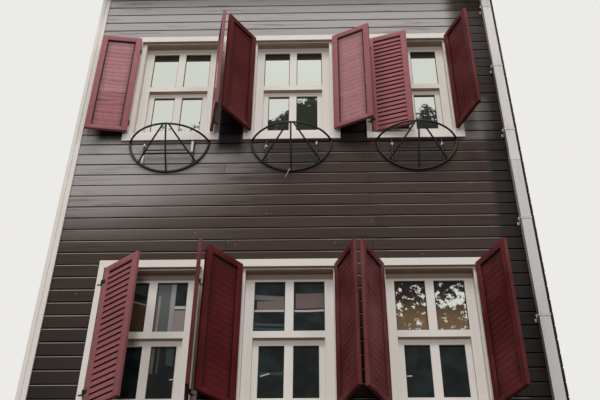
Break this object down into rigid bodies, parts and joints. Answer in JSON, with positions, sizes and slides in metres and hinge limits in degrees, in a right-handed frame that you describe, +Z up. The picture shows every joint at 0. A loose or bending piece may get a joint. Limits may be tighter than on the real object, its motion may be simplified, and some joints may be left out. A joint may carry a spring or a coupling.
{
  "type": "timber-clad row townhouse",
  "caption": "Narrow three-storey row townhouse clad in dark timber boards, with white windows, burgundy louvred shutters and iron flower baskets.",
  "frame": {"origin": "middle of the plan at ground level, on the base", "axes": "+Z up, the street front faces -Y, +X to the right seen from the street"},
  "size_m": [4.84, 8.9568, 13.2164],
  "materials": {
    "siding": "weathered dark stain on wide horizontal boards",
    "render": "plain cement render",
    "stone": "dressed stone",
    "floor_boards": "bare floor boards",
    "roof_tiles": "fired clay tiles",
    "white_paint": "satin white paint, slightly worn",
    "pipe_white": "white coated sheet metal",
    "window_glass": "clear glass before a dark room",
    "handle_white": "white handle",
    "door_wood": "dark varnish",
    "black_iron": "black paint on wrought iron",
    "burgundy_paint": "faded burgundy paint"
  },
  "bodies": {
    "house": {"front_wall_bands": "siding", "front_wall_piers": "siding", "back_wall_bands": "siding", "back_wall_piers": "siding", "left_wall": "render", "right_wall": "render", "plinth": "stone", "ground_floor": "floor_boards", "first_floor": "floor_boards", "second_floor": "floor_boards", "attic_floor": "floor_boards", "roof_front": "roof_tiles", "roof_back": "roof_tiles", "cornice_front": "white_paint", "cornice_back": "white_paint", "gutter": "pipe_white", "downpipe": "pipe_white", "pipe_straps": "pipe_white", "corner_board": "white_paint", "front_casings": "white_paint", "front_linings": "white_paint", "front_frames": "white_paint", "front_casements": "white_paint", "front_glass": "window_glass", "window_handles": "handle_white", "back_casings": "white_paint", "back_windows": "white_paint", "back_glass": "window_glass", "door_frame": "white_paint", "door_leaf": "door_wood", "shutter_pintles": "black_iron", "basket_left": "black_iron", "basket_middle": "black_iron", "basket_right": "black_iron"},
    "shutter_top_1": {"shutter_top_1": "burgundy_paint"},
    "shutter_top_2": {"shutter_top_2": "burgundy_paint"},
    "shutter_top_3": {"shutter_top_3": "burgundy_paint"},
    "shutter_top_4": {"shutter_top_4": "burgundy_paint"},
    "shutter_top_5": {"shutter_top_5": "burgundy_paint"},
    "shutter_top_6": {"shutter_top_6": "burgundy_paint"},
    "shutter_middle_1": {"shutter_middle_1": "burgundy_paint"},
    "shutter_middle_2": {"shutter_middle_2": "burgundy_paint"},
    "shutter_middle_3": {"shutter_middle_3": "burgundy_paint"},
    "shutter_middle_4": {"shutter_middle_4": "burgundy_paint"},
    "shutter_middle_5": {"shutter_middle_5": "burgundy_paint"},
    "shutter_middle_6": {"shutter_middle_6": "burgundy_paint"}
  },
  "joints": [
    {"name": "shutter_top_1_hinge", "type": "hinge", "parent": "house", "child": "shutter_top_1", "pos_m": [-1.83, -4.04, 9.187], "axis": [0, 0, 1], "range_deg": [-3, 172]},
    {"name": "shutter_top_2_hinge", "type": "hinge", "parent": "house", "child": "shutter_top_2", "pos_m": [-0.88, -4.04, 9.187], "axis": [0, 0, 1], "range_deg": [-103, 3]},
    {"name": "shutter_top_3_hinge", "type": "hinge", "parent": "house", "child": "shutter_top_3", "pos_m": [-0.505, -4.04, 9.187], "axis": [0, 0, 1], "range_deg": [-5, 126]},
    {"name": "shutter_top_4_hinge", "type": "hinge", "parent": "house", "child": "shutter_top_4", "pos_m": [0.445, -4.04, 9.187], "axis": [0, 0, 1], "range_deg": [-155, 17]},
    {"name": "shutter_top_5_hinge", "type": "hinge", "parent": "house", "child": "shutter_top_5", "pos_m": [0.843, -4.04, 9.187], "axis": [0, 0, 1], "range_deg": [-69, 17]},
    {"name": "shutter_top_6_hinge", "type": "hinge", "parent": "house", "child": "shutter_top_6", "pos_m": [1.793, -4.04, 9.187], "axis": [0, 0, 1], "range_deg": [-114, 58]},
    {"name": "shutter_middle_1_hinge", "type": "hinge", "parent": "house", "child": "shutter_middle_1", "pos_m": [-1.83, -4.04, 5.907], "axis": [0, 0, 1], "range_deg": [-137, 38]},
    {"name": "shutter_middle_2_hinge", "type": "hinge", "parent": "house", "child": "shutter_middle_2", "pos_m": [-0.88, -4.04, 5.907], "axis": [0, 0, 1], "range_deg": [-99, 4]},
    {"name": "shutter_middle_3_hinge", "type": "hinge", "parent": "house", "child": "shutter_middle_3", "pos_m": [-0.505, -4.04, 5.907], "axis": [0, 0, 1], "range_deg": [-5, 131]},
    {"name": "shutter_middle_4_hinge", "type": "hinge", "parent": "house", "child": "shutter_middle_4", "pos_m": [0.445, -4.04, 5.907], "axis": [0, 0, 1], "range_deg": [-112, 3]},
    {"name": "shutter_middle_5_hinge", "type": "hinge", "parent": "house", "child": "shutter_middle_5", "pos_m": [0.843, -4.04, 5.907], "axis": [0, 0, 1], "range_deg": [-4, 118]},
    {"name": "shutter_middle_6_hinge", "type": "hinge", "parent": "house", "child": "shutter_middle_6", "pos_m": [1.793, -4.04, 5.907], "axis": [0, 0, 1], "range_deg": [-117, 55]}
  ]
}
